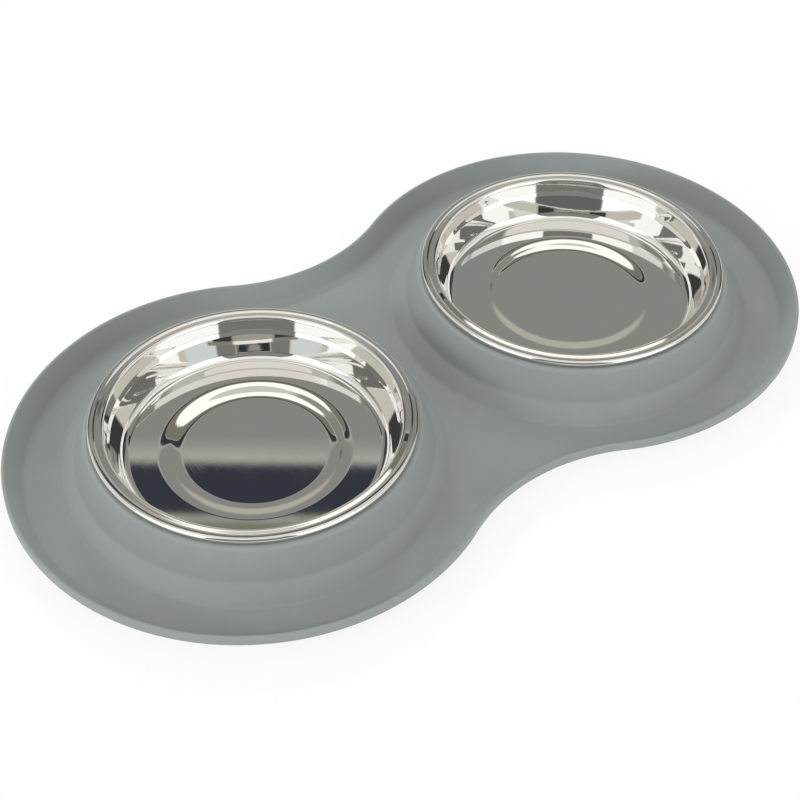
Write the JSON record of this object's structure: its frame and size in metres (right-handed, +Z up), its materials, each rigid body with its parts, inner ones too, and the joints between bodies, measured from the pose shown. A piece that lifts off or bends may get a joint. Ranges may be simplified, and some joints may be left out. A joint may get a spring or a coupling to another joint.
{
  "type": "double pet bowl",
  "caption": "Low peanut-shaped silicone feeding mat with a raised lip and round collars that hold lift-out drawn steel bowls for pet food and water.",
  "frame": {"origin": "centre of the mat on the ground, midway between the two bowls", "axes": "+X along the mat from the left bowl to the right bowl, +Z up"},
  "size_m": [0.371, 0.201, 0.0262],
  "materials": {
    "silicone": "satin mid-grey silicone",
    "bowl_steel": "bright polished stainless steel"
  },
  "bodies": {
    "mat": {"mat": "silicone"},
    "left_bowl": {"left_bowl": "bowl_steel"},
    "right_bowl": {"right_bowl": "bowl_steel"}
  },
  "joints": [
    {"name": "left_bowl_lift", "type": "slide", "parent": "mat", "child": "left_bowl", "axis": [0, 0, 1], "range_m": [0, 0.06]},
    {"name": "right_bowl_lift", "type": "slide", "parent": "mat", "child": "right_bowl", "axis": [0, 0, 1], "range_m": [0, 0.06]}
  ]
}
